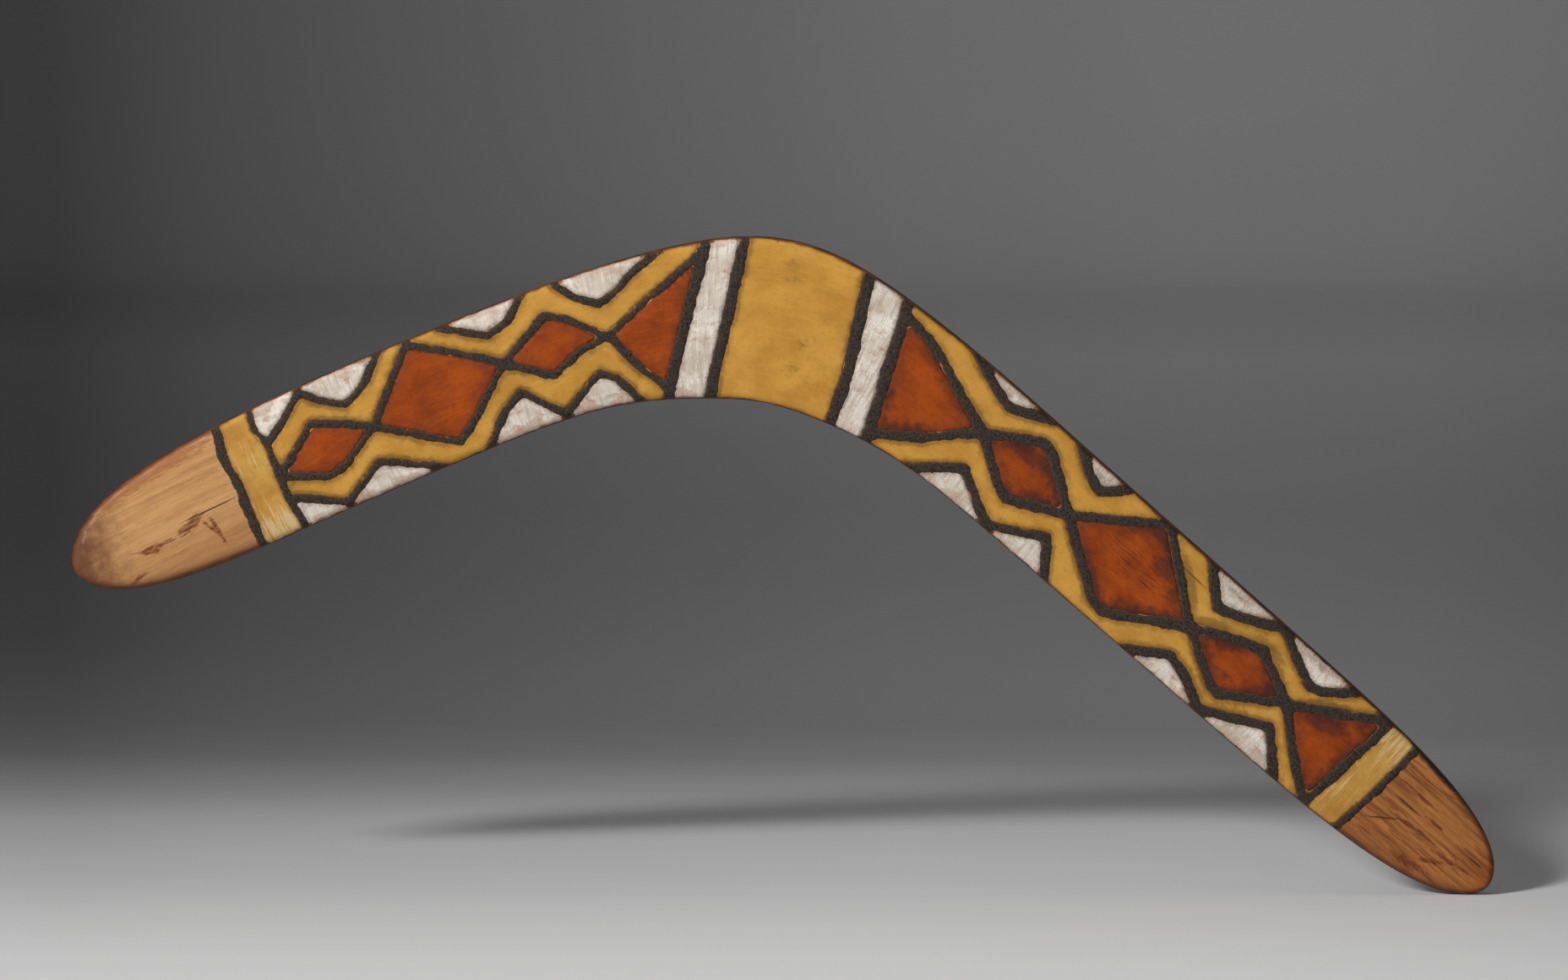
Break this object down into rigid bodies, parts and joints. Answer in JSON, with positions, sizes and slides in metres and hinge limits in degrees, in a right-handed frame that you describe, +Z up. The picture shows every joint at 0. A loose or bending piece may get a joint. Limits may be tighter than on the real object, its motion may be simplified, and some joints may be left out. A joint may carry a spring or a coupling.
{
  "type": "boomerang",
  "caption": "Returning boomerang carved in wood, flat back and crowned face, with painted diamonds, triangles and bands in ochre, red, white and black.",
  "frame": {"origin": "balance point (centre of mass) of the blade, about which it spins in flight; it lies in the crook, outside the wood", "axes": "blade stands in the XZ plane as pictured, on its lower right tip: +X towards the right arm's tip, +Z up towards the elbow, painted face towards -Y, flat back towards +Y"},
  "size_m": [0.5509, 0.0094, 0.2518],
  "materials": {
    "wood": "oiled, hand scraped",
    "yellow_ochre": "matte brushed paint",
    "pale_ochre": "matte brushed paint, thin",
    "red_ochre": "matte brushed paint",
    "white_clay": "matte brushed paint, thick and chipped",
    "charcoal_black": "matte brushed paint, grainy"
  },
  "bodies": {
    "root": {"blade": "wood", "black_bandinner_left": "charcoal_black", "black_bandinner_right": "charcoal_black", "black_innerab_left": "charcoal_black", "black_innerab_right": "charcoal_black", "black_innercd_right": "charcoal_black", "black_outline_left": "charcoal_black", "black_outline_right": "charcoal_black", "black_tip_left": "charcoal_black", "black_tip_right": "charcoal_black", "black_tootha_left": "charcoal_black", "black_tootha_right": "charcoal_black", "black_toothb_left": "charcoal_black", "black_toothb_right": "charcoal_black", "black_toothcd_right": "charcoal_black", "pale_band_left": "pale_ochre", "pale_band_right": "pale_ochre", "red_diamond_a_left": "red_ochre", "red_diamond_a_right": "red_ochre", "red_diamond_b_left": "red_ochre", "red_diamond_b_right": "red_ochre", "red_diamond_c_left": "red_ochre", "red_diamond_c_right": "red_ochre", "red_triangle_left": "red_ochre", "red_triangle_right": "red_ochre", "red_triangle_tip_right": "red_ochre", "white_band_left": "white_clay", "white_band_right": "white_clay", "white_inner_a_left": "white_clay", "white_inner_a_right": "white_clay", "white_inner_b_left": "white_clay", "white_inner_b_right": "white_clay", "white_inner_c_left": "white_clay", "white_inner_c_right": "white_clay", "white_inner_d_left": "white_clay", "white_inner_d_right": "white_clay", "white_outer_a_left": "white_clay", "white_outer_a_right": "white_clay", "white_outer_b_left": "white_clay", "white_outer_b_right": "white_clay", "white_outer_c_left": "white_clay", "white_outer_c_right": "white_clay", "white_outer_d_left": "white_clay", "white_outer_d_right": "white_clay", "yellow_elbow": "yellow_ochre", "yellow_inner_left": "yellow_ochre", "yellow_inner_right": "yellow_ochre", "yellow_outer_a_left": "yellow_ochre", "yellow_outer_a_right": "yellow_ochre", "yellow_outer_b_left": "yellow_ochre", "yellow_outer_b_right": "yellow_ochre"}
  },
  "joints": []
}
